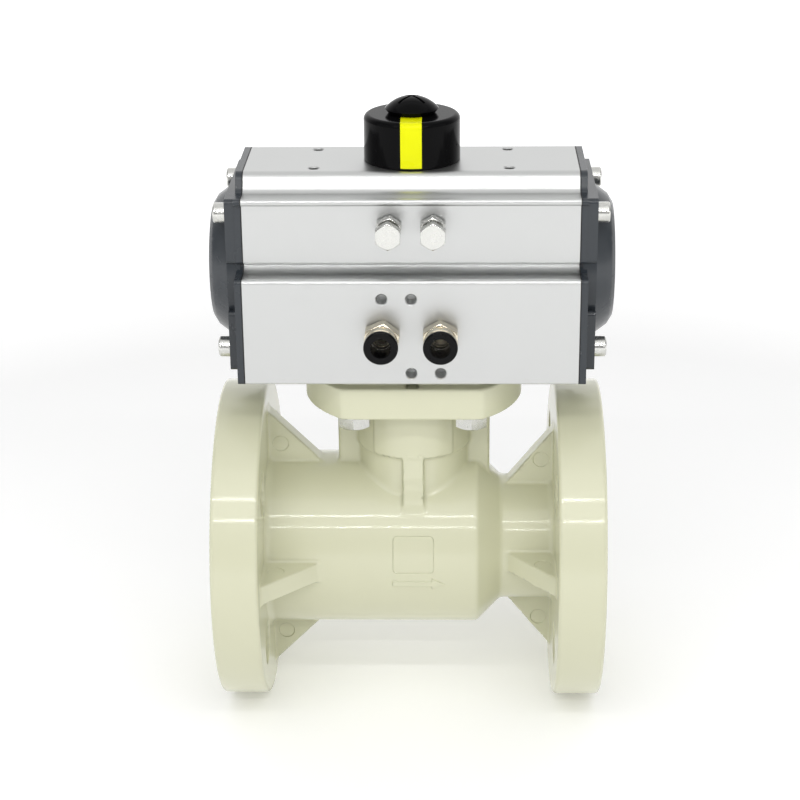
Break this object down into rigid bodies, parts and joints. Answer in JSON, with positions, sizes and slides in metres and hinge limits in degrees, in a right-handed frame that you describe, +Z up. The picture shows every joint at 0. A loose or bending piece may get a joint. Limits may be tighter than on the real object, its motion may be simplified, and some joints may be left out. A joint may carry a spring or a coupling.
{
  "type": "pneumatic actuated ball valve",
  "caption": "Flanged plastic ball valve with a rack-and-pinion pneumatic quarter-turn actuator and a position indicator on top.",
  "frame": {"origin": "centre of the inlet flange's face, on the pipe axis", "axes": "+X is the flow direction from inlet to outlet, +Z points up along the stem to the actuator, -Y is the side with the air ports"},
  "size_m": [0.1677, 0.14, 0.2695],
  "materials": {
    "pph": "moulded beige polypropylene, soft gloss",
    "pph_inner": "machined beige polypropylene, smooth",
    "ptfe": "white PTFE, waxy",
    "seal_rubber": "black elastomer, matte",
    "bearing_plastic": "ivory bearing plastic, satin",
    "stainless": "stainless steel fasteners, bright",
    "anodised_aluminium": "extruded, bead-blasted and clear anodised",
    "cast_aluminium": "cast and turned",
    "coated_aluminium": "die cast, dark blue-grey powder coat, satin",
    "pinion_steel": "nickel-plated steel",
    "indicator_black": "black moulded plastic, glossy",
    "indicator_yellow": "yellow moulded plastic, glossy",
    "nickel_brass": "nickel-plated brass, bright",
    "collet_plastic": "black moulded plastic"
  },
  "bodies": {
    "valve": {"valve_body": "pph", "seat_retainer": "pph_inner", "retainer_o_ring": "seal_rubber", "inlet_seat": "ptfe", "outlet_seat": "ptfe", "inlet_seat_o_ring": "seal_rubber", "outlet_seat_o_ring": "seal_rubber", "stem_bush": "bearing_plastic", "mounting_bolts": "stainless", "mounting_washers": "stainless", "actuator_housing": "anodised_aluminium", "left_end_cap": "coated_aluminium", "right_end_cap": "coated_aluminium", "left_cap_gasket": "seal_rubber", "right_cap_gasket": "seal_rubber", "left_cap_screws": "stainless", "right_cap_screws": "stainless", "pinion_top_bush": "bearing_plastic", "pinion_bottom_bush": "bearing_plastic", "closed_stop_bolt": "stainless", "open_stop_bolt": "stainless", "stop_lock_nuts": "stainless", "stop_bolt_seals": "seal_rubber", "air_fitting_a": "nickel_brass", "air_fitting_b": "nickel_brass", "fitting_seals": "seal_rubber", "grab_rings": "stainless", "tube_o_rings": "seal_rubber"},
    "pinion": {"pinion": "pinion_steel", "travel_stop_cam": "pinion_steel", "cam_thrust_washer": "bearing_plastic", "pinion_top_o_ring": "seal_rubber", "pinion_bottom_o_ring": "seal_rubber", "top_thrust_washer": "bearing_plastic", "snap_ring": "stainless", "indicator_cap": "indicator_black", "indicator_stripe": "indicator_yellow", "indicator_screw": "indicator_black"},
    "ball_and_stem": {"ball": "pph_inner", "stem": "pph_inner", "stem_o_rings": "seal_rubber", "stem_thrust_washer": "ptfe"},
    "left_piston": {"left_piston": "cast_aluminium", "left_piston_o_ring": "seal_rubber", "left_guide_ring": "bearing_plastic", "left_rack_guide": "bearing_plastic"},
    "right_piston": {"right_piston": "cast_aluminium", "right_piston_o_ring": "seal_rubber", "right_guide_ring": "bearing_plastic", "right_rack_guide": "bearing_plastic"},
    "collet_a": {"collet_a": "collet_plastic"},
    "collet_b": {"collet_b": "collet_plastic"}
  },
  "joints": [
    {"name": "pinion_turn", "type": "hinge", "parent": "valve", "child": "pinion", "pos_m": [0.084, 0, 0.1295], "axis": [0, 0, 1], "range_deg": [0, 90]},
    {"name": "ball_turn", "type": "hinge", "parent": "valve", "child": "ball_and_stem", "pos_m": [0.084, 0, 0], "axis": [0, 0, 1], "range_deg": [0, 90]},
    {"name": "left_piston_slide", "type": "slide", "parent": "valve", "child": "left_piston", "axis": [-1, 0, 0], "range_m": [0, 0.01571]},
    {"name": "right_piston_slide", "type": "slide", "parent": "valve", "child": "right_piston", "axis": [1, 0, 0], "range_m": [0, 0.01571]},
    {"name": "collet_a_push", "type": "slide", "parent": "valve", "child": "collet_a", "axis": [0, 1, 0], "range_m": [0, 0.0012], "stiffness_N_per_m": 400},
    {"name": "collet_b_push", "type": "slide", "parent": "valve", "child": "collet_b", "axis": [0, 1, 0], "range_m": [0, 0.0012], "stiffness_N_per_m": 400}
  ],
  "couplings": [
    {"joint": "ball_turn", "follows": "pinion_turn", "ratio": 1},
    {"joint": "left_piston_slide", "follows": "pinion_turn", "m_per_rad": 0.01},
    {"joint": "right_piston_slide", "follows": "pinion_turn", "m_per_rad": 0.01}
  ]
}
